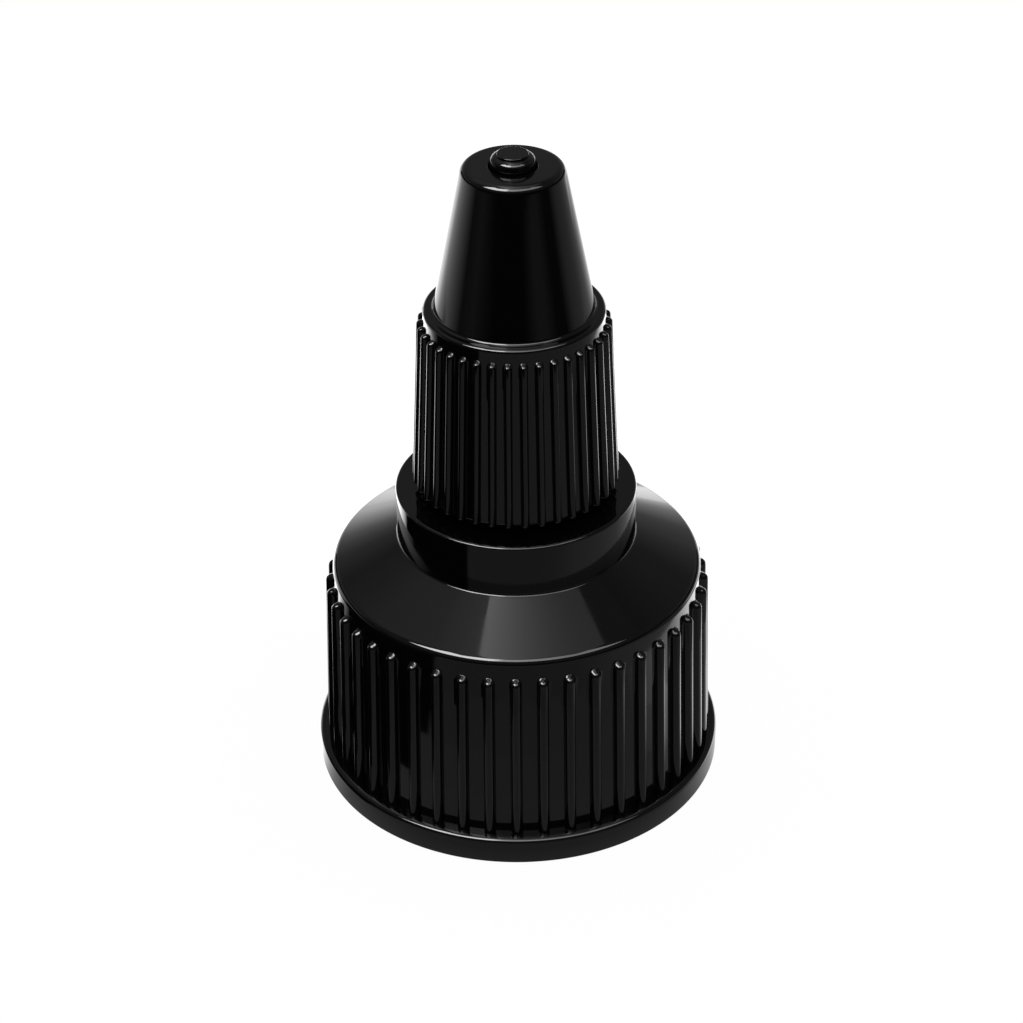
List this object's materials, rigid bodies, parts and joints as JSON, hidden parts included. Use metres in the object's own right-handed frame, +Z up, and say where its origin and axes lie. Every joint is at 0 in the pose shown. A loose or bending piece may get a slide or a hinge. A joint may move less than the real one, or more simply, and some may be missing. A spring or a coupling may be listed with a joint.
{
  "type": "twist-open dispensing cap",
  "caption": "Black ribbed screw cap for a squeeze bottle, with a nozzle that twists open round a fixed centre plug.",
  "frame": {"origin": "middle of the skirt's rim, the plane on which the cap stands", "axes": "+Z up the cap's axis, towards the orifice; +Y away from the picture's camera, +X to its right"},
  "size_m": [0.029, 0.029, 0.047],
  "materials": {
    "base_plastic": "glossy moulded black polypropylene",
    "spout_plastic": "glossy moulded black polypropylene"
  },
  "bodies": {
    "base": {"closure_base": "base_plastic"},
    "spout": {"twist_spout": "spout_plastic"}
  },
  "joints": [
    {"name": "spout_twist", "type": "hinge", "parent": "base", "child": "spout", "pos_m": [0, 0, 0.0228], "axis": [0, 0, 1], "range_deg": [0, 270]}
  ]
}
